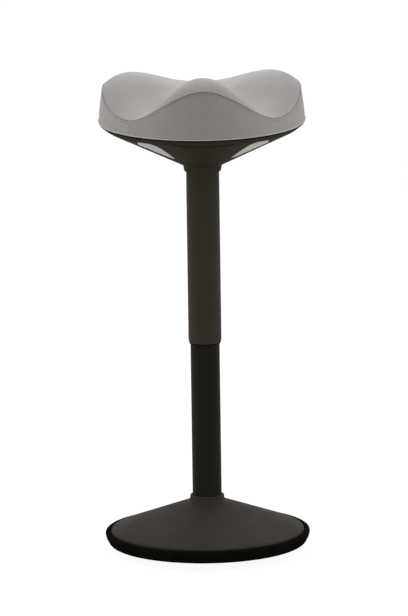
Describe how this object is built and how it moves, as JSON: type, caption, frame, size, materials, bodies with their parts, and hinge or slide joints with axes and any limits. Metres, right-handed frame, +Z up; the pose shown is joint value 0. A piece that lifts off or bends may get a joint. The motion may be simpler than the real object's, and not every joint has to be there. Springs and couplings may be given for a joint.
{
  "type": "balance chair",
  "caption": "Sit-stand balance stool: three-lobed padded saddle seat on a swivelling gas-lift column that rocks on a weighted, domed rubber base.",
  "frame": {"origin": "centre of the sole's flat spot, on the floor", "axes": "+Z up along the column, -Y towards the front of the seat, +X to the right in the picture"},
  "size_m": [0.3756, 0.3756, 0.8989],
  "materials": {
    "black_rubber": "matt black moulded rubber",
    "zinc_steel": "zinc-plated steel",
    "cast_iron": "raw casting",
    "dark_grey_shell": "fine-grained matt dark grey",
    "dark_plastic": "matt dark grey",
    "black_paint": "satin black powder coat",
    "brown_black_shell": "satin brown-black",
    "white_nylon": "natural nylon",
    "polished_rod": "hard chrome",
    "black_plastic": "fine-grained matt black",
    "light_grey_plastic": "satin light grey",
    "plywood": "raw birch ply",
    "foam": "moulded polyurethane foam",
    "grey_cloth": "fine woven warm-grey cloth",
    "hem_cloth": "turned edge of the same cloth, lighter"
  },
  "bodies": {
    "base": {"rocker_sole": "black_rubber", "sole_screw_1": "zinc_steel", "sole_screw_2": "zinc_steel", "sole_screw_3": "zinc_steel", "sole_screw_4": "zinc_steel", "base_weight": "cast_iron", "base_hub": "zinc_steel", "hub_screw_1": "zinc_steel", "hub_screw_2": "zinc_steel", "hub_screw_3": "zinc_steel", "hub_screw_4": "zinc_steel", "base_cover": "dark_grey_shell", "base_collar": "dark_plastic", "standpipe": "black_paint", "guide_bush": "white_nylon", "lower_washer": "zinc_steel", "bearing_cage": "white_nylon"},
    "rod": {"piston_rod": "polished_rod", "piston": "white_nylon", "upper_washer": "zinc_steel", "buffer": "black_rubber", "retaining_clip": "zinc_steel"},
    "seat": {"gas_cylinder": "black_paint", "rod_gland": "white_nylon", "sleeve": "brown_black_shell", "seat_bracket": "black_paint", "bracket_screw_1": "zinc_steel", "bracket_screw_2": "zinc_steel", "bracket_screw_3": "zinc_steel", "bracket_screw_4": "zinc_steel", "pivot_pin": "zinc_steel", "seat_pan": "black_plastic", "pan_screw_1": "zinc_steel", "pan_screw_2": "zinc_steel", "pan_screw_3": "zinc_steel", "pan_screw_4": "zinc_steel", "seat_board": "plywood", "seat_foam": "foam", "seat_cover_top": "grey_cloth", "seat_cover_side": "grey_cloth", "seat_hem": "hem_cloth"},
    "lever": {"release_yoke": "zinc_steel", "paddle_left": "light_grey_plastic", "paddle_right": "light_grey_plastic"},
    "valve": {"valve_pin": "zinc_steel"}
  },
  "joints": [
    {"name": "swivel", "type": "hinge", "parent": "base", "child": "rod", "pos_m": [0, 0, 0.0346], "axis": [0, 0, 1], "continuous": true},
    {"name": "lift", "type": "slide", "parent": "rod", "child": "seat", "axis": [0, 0, 1], "range_m": [-0.265, 0]},
    {"name": "release", "type": "hinge", "parent": "seat", "child": "lever", "pos_m": [0, -0.03, 0.7672], "axis": [-1, 0, 0], "range_deg": [0, 6], "stiffness_Nm_per_rad": 2},
    {"name": "valve_press", "type": "slide", "parent": "seat", "child": "valve", "axis": [0, 0, -1], "range_m": [0, 0.0032]}
  ],
  "couplings": [
    {"joint": "valve_press", "follows": "release", "m_per_rad": 0.03}
  ]
}
